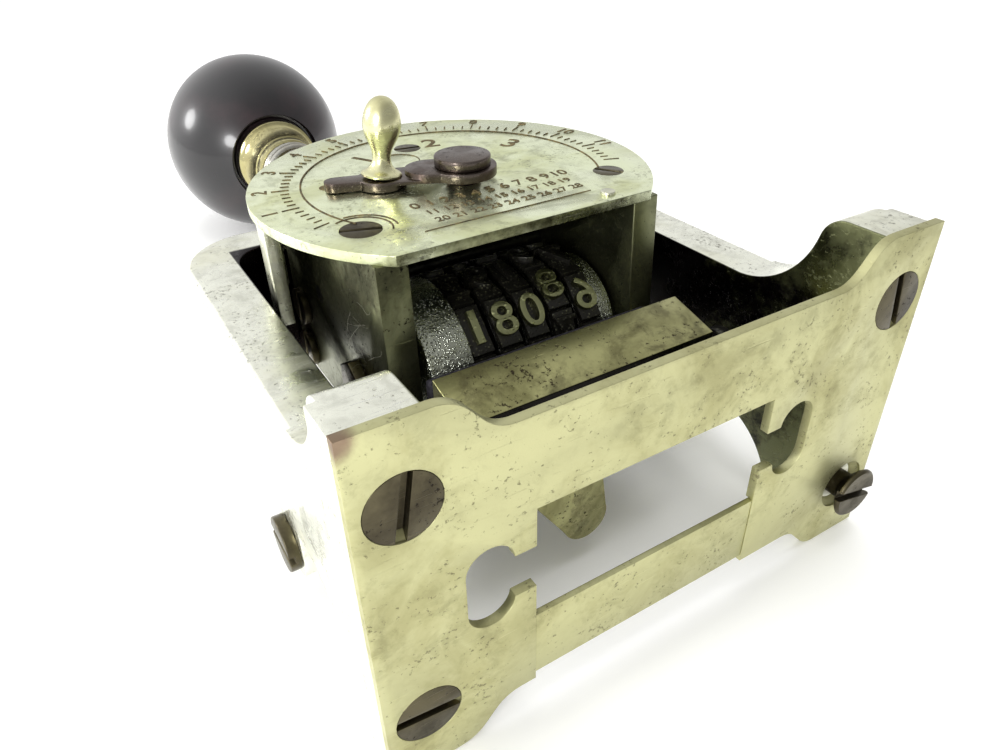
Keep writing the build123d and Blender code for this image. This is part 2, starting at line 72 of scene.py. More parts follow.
PLATE_LOW, PLATE_HIGH = span("base_plate")
DIAL_LOW, DIAL_HIGH = span("dial_plate")
DIAL_FRONT = DIAL_LOW.y
DIAL_R = (DIAL_HIGH.x - DIAL_LOW.x) / 2
DIAL_Z = DIAL_HIGH.z - DIAL_R
SHAFT = middle("wheel_shaft")
BALL_LOW, BALL_HIGH = span("ball_handle")
BALL_R = (BALL_HIGH.x - BALL_LOW.x) / 2
ARM_GAP = 0.1 * MM              # between an ink holder arm and the yoke beside it
YOKE_INSIDE_X = ARM_GAP - span("inker_arm_left")[0].x
TRAY_LOW = span("ink_tray")[0]
PLUNGER_BORE = 5.1              # mm, the hole that the plunger rod passes through
SHAFT_BORE = 2.55               # mm, the hole in a number wheel
DRUM_WIDE = 3.4                 # mm, the part of a number wheel that carries type
LEVER_TOP = 1.45 * MM           # how far the pointer's lever stands off the dial
LINE_DEEP = 0.06 * MM           # the thickness of the dial's filled numerals
WELD = 0.000001                 # points nearer than this, in metres, become one
BALL_CENTRE = Vector((0, (BALL_LOW.y + BALL_HIGH.y) / 2, BALL_HIGH.z - BALL_R))


# ---------------------------------------------------------------- node helpers
def new_tree(material):
    material.use_nodes = True
    tree = material.node_tree
    tree.nodes.clear()
    out = tree.nodes.new("ShaderNodeOutputMaterial")
    shader = tree.nodes.new("ShaderNodeBsdfPrincipled")
    tree.links.new(shader.outputs["BSDF"], out.inputs["Surface"])
    return tree, shader


def node(tree, kind, **settings):
    made = tree.nodes.new(kind)
    for key, value in settings.items():
        setattr(made, key, value)
    return made


def join(tree, source, target):
    tree.links.new(source, target)


def noise(tree, vector, scale, detail=4.0, rough=0.6, distort=0.0):
    made = node(tree, "ShaderNodeTexNoise")
    made.inputs["Scale"].default_value = scale
    made.inputs["Detail"].default_value = detail
    made.inputs["Roughness"].default_value = rough
    made.inputs["Distortion"].default_value = distort
    join(tree, vector, made.inputs["Vector"])
    return made.outputs["Fac"]


def ramp(tree, value, low, high, invert=False):
    """A smooth step of a value from low to high."""
    made = node(tree, "ShaderNodeMapRange", interpolation_type="SMOOTHSTEP")
    made.inputs["From Min"].default_value = low
    made.inputs["From Max"].default_value = high
    made.inputs["To Min"].default_value = 1.0 if invert else 0.0
    made.inputs["To Max"].default_value = 0.0 if invert else 1.0
    join(tree, value, made.inputs["Value"])
    return made.outputs["Result"]


def maths(tree, operation, a, b):
    made = node(tree, "ShaderNodeMath", operation=operation)
    for socket, value in zip(made.inputs, (a, b)):
        if isinstance(value, (int, float)):
            socket.default_value = value
        else:
            join(tree, value, socket)
    return made.outputs[0]


def blend_colour(tree, factor, first, second):
    made = node(tree, "ShaderNodeMix", data_type="RGBA")
    if isinstance(factor, (int, float)):
        made.inputs[0].default_value = factor
    else:
        join(tree, factor, made.inputs[0])
    for socket, value in ((made.inputs[6], first), (made.inputs[7], second)):
        if isinstance(value, tuple):
            socket.default_value = (*value, 1.0)
        else:
            join(tree, value, socket)
    return made.outputs[2]


def group_tree(name, inputs, outputs):
    tree = bpy.data.node_groups.new(name, "ShaderNodeTree")
    for label, default in inputs:
        socket = tree.interface.new_socket(label, in_out="INPUT", socket_type="NodeSocketFloat")
        socket.default_value = default
    for label in outputs:
        tree.interface.new_socket(label, in_out="OUTPUT", socket_type="NodeSocketFloat")
    return tree, tree.nodes.new("NodeGroupInput"), tree.nodes.new("NodeGroupOutput")


def build_plating_marks():
    """Speckles, hairline scratches, cloudy tarnish and a fine height for plated metal."""
    tree, given, out = group_tree(
        "plating_marks",
        (("Speckle", 0.5), ("Scratch", 0.5), ("Cloud", 0.5)),
        ("Speckles", "Scratches", "Clouds", "Height"))
    where = node(tree, "ShaderNodeTexCoord").outputs["Object"]
    fine = noise(tree, where, 1500, 3, 0.7)
    patches = noise(tree, where, 160, 4, 0.6)
    pits = ramp(tree, maths(tree, "ADD", fine, maths(tree, "MULTIPLY", patches, 0.55)), 0.885, 0.99)
    join(tree, maths(tree, "MULTIPLY", pits, given.outputs["Speckle"]), out.inputs["Speckles"])
    lines = None
    for turn, squeeze in ((0.5, 26.0), (1.9, 34.0), (2.6, 22.0)):
        mapping = node(tree, "ShaderNodeMapping")
        mapping.inputs["Rotation"].default_value = (turn, turn * 1.7, turn * 0.6)
        mapping.inputs["Scale"].default_value = (1.0, squeeze, squeeze)
        join(tree, where, mapping.inputs["Vector"])
        streak = ramp(tree, noise(tree, mapping.outputs["Vector"], 110, 2, 0.5, 0.3), 0.70, 0.76)
        lines = streak if lines is None else maths(tree, "MAXIMUM", lines, streak)
    join(tree, maths(tree, "MULTIPLY", lines, given.outputs["Scratch"]), out.inputs["Scratches"])
    cloud = ramp(tree, noise(tree, where, 70, 5, 0.65, 0.6), 0.42, 0.68)
    join(tree, maths(tree, "MULTIPLY", cloud, given.outputs["Cloud"]), out.inputs["Clouds"])
    height = maths(tree, "SUBTRACT", maths(tree, "MULTIPLY", fine, 0.35), maths(tree, "ADD", pits, lines))
    join(tree, height, out.inputs["Height"])
    return tree


def build_grit():
    """Coarse cast or inked grain: bright grains, dust and a height."""
    tree, given, out = group_tree("grit", (("Size", 900.0), ("Amount", 0.5)), ("Grains", "Dust", "Height"))
    where = node(tree, "ShaderNodeTexCoord").outputs["Object"]
    cells = node(tree, "ShaderNodeTexVoronoi", feature="F1")
    join(tree, where, cells.inputs["Vector"])
    join(tree, given.outputs["Size"], cells.inputs["Scale"])
    grain = ramp(tree, cells.outputs["Distance"], 0.12, 0.42, invert=True)
    rough = noise(tree, where, 420, 5, 0.7)
    join(tree, maths(tree, "MULTIPLY", maths(tree, "MULTIPLY", grain, given.outputs["Amount"]),
                     ramp(tree, rough, 0.4, 0.62)), out.inputs["Grains"])
    join(tree, ramp(tree, noise(tree, where, 240, 6, 0.75), 0.56, 0.72), out.inputs["Dust"])
    join(tree, maths(tree, "ADD", maths(tree, "MULTIPLY", grain, 0.7), rough), out.inputs["Height"])
    return tree


PLATING_MARKS = build_plating_marks()
GRIT = build_grit()


def use_group(tree, group, **values):
    made = tree.nodes.new("ShaderNodeGroup")
    made.node_tree = group
    for key, value in values.items():
        made.inputs[key].default_value = value
    return made.outputs


def bump(tree, shader, height, strength, distance):
    made = node(tree, "ShaderNodeBump")
    made.inputs["Strength"].default_value = strength
    made.inputs["Distance"].default_value = distance
    join(tree, height, made.inputs["Height"])
    join(tree, made.outputs["Normal"], shader.inputs["Normal"])


def plated(name, clean, stain, dark, rough=(0.22, 0.42), speckle=0.7, scratch=0.5, cloud=0.8,
           mottle=0.25, worn_corner=None, shading=None):
    """Worn plating: a clean tone, a warmer tarnish, dark specks and hairline scratches."""
    material = bpy.data.materials.new(name)
    tree, shader = new_tree(material)
    marks = use_group(tree, PLATING_MARKS, Speckle=speckle, Scratch=scratch, Cloud=cloud)
    colour = blend_colour(tree, marks["Clouds"], clean, stain)
    colour = blend_colour(tree, marks["Speckles"], colour, dark)
    where = node(tree, "ShaderNodeTexCoord").outputs["Object"]
    smudge = ramp(tree, noise(tree, where, 340, 8, 0.72, 0.4), 0.44, 0.66)
    smudge = maths(tree, "MULTIPLY", smudge, ramp(tree, noise(tree, where, 60, 4, 0.6), 0.36, 0.58))
    colour = blend_colour(tree, maths(tree, "MULTIPLY", smudge, mottle), colour, dark)
    bright = tuple(min(1.0, c * 1.25) for c in clean)
    colour = blend_colour(tree, maths(tree, "MULTIPLY", marks["Scratches"], 0.6), colour, bright)
    if worn_corner:
        place, size, tone = worn_corner
        away = node(tree, "ShaderNodeVectorMath", operation="DISTANCE")
        join(tree, where, away.inputs[0])
        away.inputs[1].default_value = place
        edge = maths(tree, "ADD", away.outputs["Value"],
                     maths(tree, "MULTIPLY", noise(tree, where, 300, 4), size * 0.9))
        rub = ramp(tree, edge, size * 0.7, size * 1.35, invert=True)
        colour = blend_colour(tree, rub, colour, tone)
    if shading:
        colour = shading(tree, colour)
    join(tree, colour, shader.inputs["Base Color"])
    shader.inputs["Metallic"].default_value = 1.0
    level = maths(tree, "ADD", rough[0], maths(tree, "MULTIPLY", marks["Clouds"], rough[1] - rough[0]))
    level = maths(tree, "ADD", level, maths(tree, "MULTIPLY", marks["Speckles"], 0.3))
    level = maths(tree, "ADD", level, maths(tree, "MULTIPLY", smudge, 0.12))
    join(tree, level, shader.inputs["Roughness"])
    bump(tree, shader, marks["Height"], 0.35, 0.0001)
    return material


def oiled_inside(tree, colour):
    """Old oil and painted shade on the inner faces of the yoke: near black high up under the bridge, paler
    and olive low down near the feet.
    """
    coordinates = node(tree, "ShaderNodeTexCoord")
    where = coordinates.outputs["Object"]
    parts = node(tree, "ShaderNodeSeparateXYZ")
    join(tree, where, parts.inputs[0])
    across = maths(tree, "ABSOLUTE", parts.outputs["X"], 0.0)
    inside = ramp(tree, across, YOKE_INSIDE_X + 0.05 * MM, YOKE_INSIDE_X + 0.3 * MM, invert=True)
    under_bridge = ramp(tree, parts.outputs["Z"], 70.3 * MM, 71.0 * MM, invert=True)
    inside = maths(tree, "MULTIPLY", inside, under_bridge)
    patchy = noise(tree, where, 130, 5, 0.65)
    # Painted shade: higher up, towards the bridge, the inside goes near black.
    darker_up = maths(tree, "MULTIPLY", parts.outputs["Z"], 14.0)
    paler_low = ramp(tree, maths(tree, "SUBTRACT", patchy, darker_up), 0.22, 0.42)
    oil_and_shade = blend_colour(tree, paler_low, (0.010, 0.007, 0.008), (0.17, 0.18, 0.09))
    return blend_colour(tree, inside, colour, oil_and_shade)


def inked_below(tree, colour):
    """Painted shade, near black, on the front faces that look down, and streaks of grime across the rest.
    """
    coordinates = node(tree, "ShaderNodeTexCoord")
    parts = node(tree, "ShaderNodeSeparateXYZ")
    join(tree, coordinates.outputs["Normal"], parts.inputs[0])
    place = node(tree, "ShaderNodeSeparateXYZ")
    join(tree, coordinates.outputs["Object"], place.inputs[0])
    # Painted shade: the faces that look down at the front are drawn near black.
    down = ramp(tree, parts.outputs["Z"], -0.8, -0.6, invert=True)
    front = ramp(tree, place.outputs["Y"], TRAY_LOW.y + 17 * MM, TRAY_LOW.y + 15 * MM)
    below = maths(tree, "MULTIPLY", down, front)
    patches = ramp(tree, noise(tree, coordinates.outputs["Object"], 210, 6, 0.7), 0.55, 0.75)
    colour = blend_colour(tree, maths(tree, "MULTIPLY", patches, 0.6), colour, (0.035, 0.033, 0.018))
    return blend_colour(tree, below, colour, (0.010, 0.009, 0.008))


def grimy_edge(tree, colour):
    """Darker, in patches, on the edges that look down."""
    coordinates = node(tree, "ShaderNodeTexCoord")
    parts = node(tree, "ShaderNodeSeparateXYZ")
    join(tree, coordinates.outputs["Normal"], parts.inputs[0])
    down = ramp(tree, parts.outputs["Z"], -0.85, -0.6, invert=True)
    patches = ramp(tree, noise(tree, coordinates.outputs["Object"], 260, 5, 0.7), 0.30, 0.62, invert=True)
    patches = maths(tree, "ADD", 0.45, maths(tree, "MULTIPLY", patches, 0.5))
    return blend_colour(tree, maths(tree, "MULTIPLY", down, patches), colour, (0.05, 0.045, 0.02))


def gritty(name, base, grain, dust, size=900.0, amount=0.6, rough=0.5, metallic=0.6, dusty=0.5,
           depth=0.00015):
    """Oily or cast black metal with bright grains and settled dust."""
    material = bpy.data.materials.new(name)
    tree, shader = new_tree(material)
    grit = use_group(tree, GRIT, Size=size, Amount=amount)
    colour = blend_colour(tree, grit["Grains"], base, grain)
    colour = blend_colour(tree, maths(tree, "MULTIPLY", grit["Dust"], dusty), colour, dust)
    join(tree, colour, shader.inputs["Base Color"])
    shader.inputs["Metallic"].default_value = metallic
    level = maths(tree, "ADD", rough, maths(tree, "MULTIPLY", grit["Dust"], 0.3))
    join(tree, level, shader.inputs["Roughness"])
    bump(tree, shader, grit["Height"], 0.5, depth)
    return material


def lacquer():
    """The ball's black lacquer: glossy, slightly brown, with faint handling haze."""
    material = bpy.data.materials.new("black_lacquer")
    tree, shader = new_tree(material)
    where = node(tree, "ShaderNodeTexCoord").outputs["Object"]
    haze = noise(tree, where, 55, 5, 0.6)
    colour = blend_colour(tree, ramp(tree, haze, 0.4, 0.7), (0.006, 0.005, 0.006), (0.022, 0.012, 0.014))
    join(tree, colour, shader.inputs["Base Color"])
    level = maths(tree, "ADD", 0.22, maths(tree, "MULTIPLY", haze, 0.2))
    join(tree, level, shader.inputs["Roughness"])
    shader.inputs["Coat Weight"].default_value = 0.5
    shader.inputs["Coat Roughness"].default_value = 0.12
    bump(tree, shader, noise(tree, where, 900, 3, 0.6), 0.04, 0.00005)
    return material


def fibrous(name, base, light, scale=900.0):
    """Leather or felt: matt, with a fibrous grain."""
    material = bpy.data.materials.new(name)
    tree, shader = new_tree(material)
    where = node(tree, "ShaderNodeTexCoord").outputs["Object"]
    grain = noise(tree, where, scale, 6, 0.75, 0.8)
    join(tree, blend_colour(tree, ramp(tree, grain, 0.35, 0.7), base, light), shader.inputs["Base Color"])
    shader.inputs["Roughness"].default_value = 0.9
    bump(tree, shader, grain, 0.6, 0.0002)
    return material


SPECK = (0.07, 0.055, 0.035)
CORNER = (PLATE_LOW.x, PLATE_LOW.y, PLATE_LOW.z)
MATERIALS = {
    "nickel": plated("worn_nickel", (0.84, 0.85, 0.72), (0.68, 0.68, 0.50), SPECK, speckle=0.55),
    # The yoke's nickel is drawn lighter than the other nickel: painted light.
    "nickel_yoke": plated("yoke_nickel", (0.95, 0.96, 0.84), (0.84, 0.84, 0.68), SPECK, speckle=0.55,
                          shading=oiled_inside),
    # The base plate's nickel is drawn darker than the yoke's: partly tarnish, partly painted shade.
    "nickel_base": plated("base_nickel", (0.57, 0.56, 0.31), (0.45, 0.43, 0.22), SPECK, (0.42, 0.58),
                          speckle=0.5, mottle=0.17, worn_corner=(CORNER, 3 * MM, (0.26, 0.19, 0.13))),
    "nickel_dial": plated("dial_nickel", (0.88, 0.94, 0.66), (0.66, 0.69, 0.38), SPECK, (0.24, 0.42),
                          speckle=0.45, scratch=0.8, mottle=0.36, shading=grimy_edge),
    # This grimy nickel also carries painted shade on its down-facing front faces.
    "nickel_grimy": plated("grimy_nickel", (0.46, 0.45, 0.21), (0.22, 0.21, 0.09), SPECK, (0.32, 0.5),
                           speckle=0.9, scratch=1.0, cloud=1.0, mottle=0.5, shading=inked_below),
    "oily_nickel": plated("oily_nickel", (0.22, 0.23, 0.13), (0.07, 0.07, 0.04), (0.01, 0.008, 0.006),
                          (0.32, 0.55), speckle=1.0, scratch=0.6, cloud=1.0, mottle=0.6),
    "bright_steel": plated("polished_nickel", (0.66, 0.61, 0.34), (0.42, 0.36, 0.15), SPECK, (0.10, 0.24),
                           speckle=0.3, scratch=0.3, cloud=0.7),
    "ferrule_nickel": plated("ferrule_nickel", (0.50, 0.46, 0.24), (0.42, 0.36, 0.15), SPECK,
                             (0.10, 0.24), speckle=0.3, scratch=0.3, cloud=0.7),
    "brass": plated("satin_brass", (0.74, 0.72, 0.44), (0.50, 0.47, 0.22), (0.20, 0.15, 0.07),
                    (0.26, 0.38), speckle=0.25),
    "dark_steel": plated("dark_screw_steel", (0.115, 0.10, 0.06), (0.05, 0.042, 0.027),
                         (0.02, 0.015, 0.012), (0.3, 0.5), scratch=0.8),
    "brown_steel": plated("browned_steel", (0.14, 0.115, 0.10), (0.07, 0.04, 0.03),
                          (0.02, 0.015, 0.015), (0.24, 0.42), speckle=0.6),
    "spring_steel": plated("spring_steel", (0.50, 0.49, 0.44), (0.34, 0.30, 0.22), SPECK, (0.22, 0.4)),
    "oily_black": gritty("oily_black", (0.014, 0.013, 0.011), (0.10, 0.10, 0.07), (0.05, 0.045, 0.03),
                         rough=0.35, metallic=0.5),
    "grainy_black": gritty("grainy_black", (0.46, 0.48, 0.40), (0.95, 1.0, 0.9), (0.10, 0.10, 0.07),
                           size=3000.0, amount=1.0, rough=0.26, metallic=1.0, dusty=0.1, depth=0.0008),
    "wheel_black": gritty("wheel_black", (0.020, 0.019, 0.015), (0.22, 0.22, 0.14), (0.07, 0.065, 0.035),
                          size=1900.0, rough=0.34, metallic=0.6),
    "type_metal": gritty("worn_type_metal", (0.30, 0.31, 0.16), (0.75, 0.78, 0.42), (0.03, 0.028, 0.015),
                         size=1500.0, amount=0.8, rough=0.34, metallic=1.0, dusty=0.9),
    "engraving": fibrous("engraving_fill", (0.035, 0.027, 0.012), (0.20, 0.15, 0.06)),
    "black_ball": lacquer(),
    "leather": fibrous("buffer_leather", (0.06, 0.03, 0.018), (0.20, 0.11, 0.06)),
    "felt": fibrous("inked_felt", (0.008, 0.007, 0.010), (0.05, 0.045, 0.06), 1400.0),
    "lint": fibrous("lint", (0.16, 0.155, 0.12), (0.40, 0.39, 0.32)),
}
SLOT_OF = {row["node"]: row["material_slot"] for row in frame["record"]["subparts"]}
FINISH_OF = {node_name: MATERIALS[slot] for node_name, slot in SLOT_OF.items()}
FINISH_OF["frame_yoke"] = MATERIALS["nickel_yoke"]      # the only nickel piece with oil and painted shade inside it


# ---------------------------------------------------------------- modelling helpers
def start_clean():
    if bpy.context.object and bpy.context.object.mode != "OBJECT":
        bpy.ops.object.mode_set(mode="OBJECT")
    bpy.ops.object.select_all(action="DESELECT")


def only(obj):
    start_clean()
    obj.select_set(True)
    bpy.context.view_layer.objects.active = obj


def finish_piece(obj, name, body, slot, nodes=(), angle=35.0):
    """Names a piece, settles it at the origin, gives it its finish and its body."""
    only(obj)
    obj.name = name
    obj.data.name = name
    bpy.ops.object.transform_apply(location=True, rotation=True, scale=True)
    bpy.ops.object.shade_smooth_by_angle(angle=math.radians(angle))
    if not obj.data.materials:
        obj.data.materials.append(MATERIALS[slot])
    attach(obj, body)
    if nodes:
        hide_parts(*nodes)


def apply_modifiers(obj):
    only(obj)
    for modifier in list(obj.modifiers):
        bpy.ops.object.modifier_apply(modifier=modifier.name)


def bevelled(obj, width, segments=2, angle=40.0):
    modifier = obj.modifiers.new("edges", "BEVEL")
    modifier.width = width
    modifier.segments = segments
    modifier.limit_method = "ANGLE"
    modifier.angle_limit = math.radians(angle)
    modifier.use_clamp_overlap = True
    apply_modifiers(obj)


def softened(node_name, width):
    """A copy of a CAD piece with its sharp edges eased, which stands for it."""
    source = frame_object(node_name)
    copy = source.copy()
    copy.data = source.data.copy()
    copy.animation_data_clear()
    for collection in source.users_collection:
        collection.objects.link(copy)
    copy.parent = None
    copy.data.materials.clear()
    copy.data.materials.append(FINISH_OF[node_name])
    only(copy)
    bpy.ops.object.mode_set(mode="EDIT")
    bpy.ops.mesh.select_all(action="SELECT")
    bpy.ops.mesh.remove_doubles(threshold=2 * WELD)
    bpy.ops.mesh.dissolve_limited(angle_limit=math.radians(0.6))
    bpy.ops.object.mode_set(mode="OBJECT")
    bevelled(copy, width)
    finish_piece(copy, node_name + "_eased", BODY_OF[node_name], SLOT_OF[node_name], (node_name,))


def frame_object(node_name):
    return bpy.data.objects[node_name]


def turned(name, profile, centre, axis, steps=72):
    """A lathe-turned solid: (radius, height) points in mm spun about an axis through centre."""
    bpy.ops.mesh.primitive_plane_add(size=1 * MM, location=(0, 0, 0))
    obj = bpy.context.object
    bpy.ops.object.mode_set(mode="EDIT")
    bpy.ops.mesh.select_all(action="SELECT")
    bpy.ops.mesh.merge(type="CENTER")
    first = profile[0]
    bpy.ops.transform.translate(value=(first[0] * MM, 0, first[1] * MM))
    for before, after in zip(profile, profile[1:]):
        step = ((after[0] - before[0]) * MM, 0, (after[1] - before[1]) * MM)
        bpy.ops.mesh.extrude_region_move(TRANSFORM_OT_translate={"value": step})
    bpy.ops.mesh.select_all(action="SELECT")
    bpy.ops.mesh.spin(steps=steps, angle=2 * math.pi, center=(0, 0, 0), axis=(0, 0, 1))
    bpy.ops.mesh.select_all(action="SELECT")
    bpy.ops.mesh.remove_doubles(threshold=WELD)
    bpy.ops.mesh.normals_make_consistent(inside=False)
    bpy.ops.object.mode_set(mode="OBJECT")
    turn = Vector((0, 0, 1)).rotation_difference(Vector(axis)).to_matrix().to_4x4()
    obj.data.transform(Matrix.Translation(Vector(centre)) @ turn)
    obj.name = name
    return obj


def arc_points(centre, radius, start, end, count):
    """Points (radius, height) round an arc, angles in degrees from the outward direction."""
    points = []
    for k in range(count + 1):
        a = math.radians(start + (end - start) * k / count)
        points.append((centre[0] + radius * math.cos(a), centre[1] + radius * math.sin(a)))
    return points


def tube(name, points, radius, sides=4):
    """A round wire through points, made a mesh."""
    curve = bpy.data.curves.new(name, "CURVE")
    curve.dimensions = "3D"
    curve.bevel_depth = radius
    curve.bevel_resolution = sides
    curve.use_fill_caps = True
    spline = curve.splines.new("POLY")
    spline.points.add(len(points) - 1)
    for target, point in zip(spline.points, points):
        target.co = (*point, 1.0)
    obj = bpy.data.objects.new(name, curve)
    bpy.context.scene.collection.objects.link(obj)
    only(obj)
    bpy.ops.object.convert(target="MESH")
    return bpy.context.object


def lettering(text, size, depth, bevel=0.0, offset=0.0):
    """A numeral as a solid mesh: centred, upright along local Y, facing local +Z."""
    bpy.ops.object.text_add(location=(0, 0, 0))
    obj = bpy.context.object
    obj.data.body = text
    obj.data.size = size
    obj.data.extrude = depth / 2
    obj.data.bevel_depth = bevel
    obj.data.offset = offset
    obj.data.bevel_resolution = 1
    obj.data.align_x = "CENTER"
    obj.data.align_y = "CENTER"
    bpy.ops.object.convert(target="MESH")
    return bpy.context.object


def joined(pieces, name):
    start_clean()
    for piece in pieces:
        piece.select_set(True)
    bpy.context.view_layer.objects.active = pieces[0]
    if len(pieces) > 1:
        bpy.ops.object.join()
    obj = bpy.context.object
    obj.name = name
    return obj


# ---------------------------------------------------------------- camera, stage and lights
def set_camera():
    data = bpy.data.cameras.new("camera")
    data.sensor_width = 36.0
    data.lens = 26.93
    data.clip_start = 0.005
    camera = bpy.data.objects.new("camera", data)
    bpy.context.scene.collection.objects.link(camera)
    camera.location = (-0.04942, -0.05309, -0.04383)
    camera.rotation_euler = tuple(math.radians(a) for a in (147.10, 31.568, 1.433))
    bpy.context.scene.camera = camera


def one_sided(name, tone, glow):
    """A pale surface seen from its front only; from behind it is clear."""
    material = bpy.data.materials.new(name)
    material.use_nodes = True
    tree = material.node_tree
    tree.nodes.clear()
    out = node(tree, "ShaderNodeOutputMaterial")
    paint = node(tree, "ShaderNodeBsdfPrincipled")
    where = node(tree, "ShaderNodeTexCoord").outputs["Object"]
    mottle = ramp(tree, noise(tree, where, 9, 3), 0.3, 0.7)
    join(tree, blend_colour(tree, mottle, tone, tuple(c * 0.985 for c in tone)), paint.inputs["Base Color"])
    paint.inputs["Roughness"].default_value = 0.9
    paint.inputs["Specular IOR Level"].default_value = 0.1
    paint.inputs["Emission Color"].default_value = (1, 1, 1, 1)
    paint.inputs["Emission Strength"].default_value = glow
    clear = node(tree, "ShaderNodeBsdfTransparent")
    mix = node(tree, "ShaderNodeMixShader")
    join(tree, node(tree, "ShaderNodeNewGeometry").outputs["Backfacing"], mix.inputs[0])
    join(tree, paint.outputs["BSDF"], mix.inputs[1])
    join(tree, clear.outputs["BSDF"], mix.inputs[2])
    join(tree, mix.outputs["Shader"], out.inputs["Surface"])
    return material


def stage_plane(name, centre, size, turn, material):
    bpy.ops.mesh.primitive_plane_add(size=size, location=centre, rotation=turn)
    plane = bpy.context.object
    plane.name = name
    plane.data.materials.append(material)
    plane.visible_shadow = False
    return plane


def set_stage():
    """The machine lies on its back against a white table; a pale floor is under its base."""
    rear_low = PLATE_HIGH.y
    rear_high = BALL_HIGH.y
    lean = math.atan2(rear_low - rear_high, BALL_CENTRE.z)
    table = one_sided("table_white", (0.95, 0.95, 0.94), 0.10)
    middle_z = BALL_CENTRE.z / 2
    middle_y = (rear_low + rear_high) / 2 + 0.3 * MM
    stage_plane("table", (0, middle_y, middle_z), 3.0, (math.pi / 2 + lean, 0, 0), table)
    pale = one_sided("floor_white", (0.9, 0.9, 0.89), 0.05)
    floor = stage_plane("floor", (0, 0, -0.1 * MM), 3.0, (0, 0, 0), pale)
    floor.visible_diffuse = False
    floor.visible_glossy = False


def area_light(name, place, aim, size, power):
    data = bpy.data.lights.new(name, "AREA")
    data.shape = "DISK"
    data.size = size
    data.energy = power
    light = bpy.data.objects.new(name, data)
    bpy.context.scene.collection.objects.link(light)
    light.location = place
    light.rotation_euler = (Vector(aim) - Vector(place)).to_track_quat("-Z", "Y").to_euler()
    return light


def set_lights():
    """A bright white room, brightest on the left and dimmer low down on the right."""
    world = bpy.data.worlds.new("studio")
    bpy.context.scene.world = world
    world.use_nodes = True
    tree = world.node_tree
    sky = tree.nodes["Background"]
    way = node(tree, "ShaderNodeTexCoord").outputs["Generated"]
    levels = []
    for direction, low, high in (((-0.9, -0.2, 0.3), 0.1, 0.9), ((0.5, -0.2, -0.8), 0.0, 0.9)):
        along = node(tree, "ShaderNodeVectorMath", operation="DOT_PRODUCT")
        join(tree, way, along.inputs[0])
        along.inputs[1].default_value = Vector(direction).normalized()
        levels.append(ramp(tree, along.outputs["Value"], low, high))
    brightness = maths(tree, "ADD", 0.84, maths(tree, "MULTIPLY", levels[0], 0.45))
    brightness = maths(tree, "SUBTRACT", brightness, maths(tree, "MULTIPLY", levels[1], 0.45))
    join(tree, brightness, sky.inputs["Strength"])
    sky.inputs["Color"].default_value = (1.0, 1.0, 1.0, 1.0)
    aim = (0, 0, 0.05)
    area_light("upper_left_lamp", (-0.427, -0.200, 0.366), aim, 0.16, 0.85)
    area_light("lower_left_lamp", (-0.363, -0.147, -0.175), aim, 0.13, 0.9)
    top = area_light("top_lamp", (0.05, -0.60, 0.10), aim, 0.50, 1.8)
    top.visible_glossy = False
    bpy.context.scene.view_settings.view_transform = "Standard"


# ---------------------------------------------------------------- the pieces
def make_ball():
    """The ball, with the ring groove that its ferrule sits in."""
    flat = BALL_LOW.z
    radius = BALL_R / MM
    below = (BALL_CENTRE.z - flat) / MM
    rim = math.sqrt(radius**2 - below**2)
    groove_low = 1.1
    edge = rim + 0.3
    start = -math.degrees(math.acos(edge / radius))
    skin = [(r, h + below) for r, h in arc_points((0, 0), radius, start, 90, 44)]
    skin[-1] = (0.0, skin[-1][1])
    groove_top = groove_low + 0.9
    profile = [(PLUNGER_BORE, 1.2), (rim - 0.9, 1.2), (rim - 0.6, groove_top), (edge - 0.4, groove_top),
               (edge - 0.12, skin[0][1] + 0.25)]
    ball = turned("ball", profile + skin, (0, BALL_CENTRE.y, flat), (0, 0, 1), 96)
    finish_piece(ball, "ball", "carriage", "black_ball", ("ball_handle",), 25)


def make_ferrule():
    """A turned ferrule: plain sleeve, a bead, and a bell that flares to a rolled lip."""
    low, high = span("handle_ferrule")
    centre = ((low.x + high.x) / 2, (low.y + high.y) / 2, low.z)
    tall = (high.z - low.z) / MM
    lip = (high.x - low.x) / 2 / MM - 1.0
    sleeve, lip_deep = 7.8, 1.7
    profile = [(PLUNGER_BORE, 0.0), (sleeve - 0.5, 0.0), (sleeve - 0.1, 0.4), (sleeve, 0.9), (sleeve, 2.4),
               (sleeve - 0.45, 2.8), (sleeve - 0.45, 3.2), (sleeve, 3.6)]
    bell_low, bell_high = 3.6, tall - lip_deep - 0.5
    for k in range(1, 11):
        t = k / 10
        profile.append((sleeve + (lip - 0.9 - sleeve) * t**2.2, bell_low + (bell_high - bell_low) * t))
    lip_low = tall - lip_deep
    profile += [(lip - 0.7, lip_low - 0.2), (lip - 0.15, lip_low + 0.15), (lip, lip_low + 0.5),
                (lip, tall - 0.45), (lip - 0.2, tall - 0.05), (PLUNGER_BORE, tall - 0.05)]
    ferrule = turned("ferrule", profile, centre, (0, 0, 1), 96)
    ferrule.data.materials.append(MATERIALS["ferrule_nickel"])
    finish_piece(ferrule, "ferrule", "carriage", "bright_steel", ("handle_ferrule",), 28)


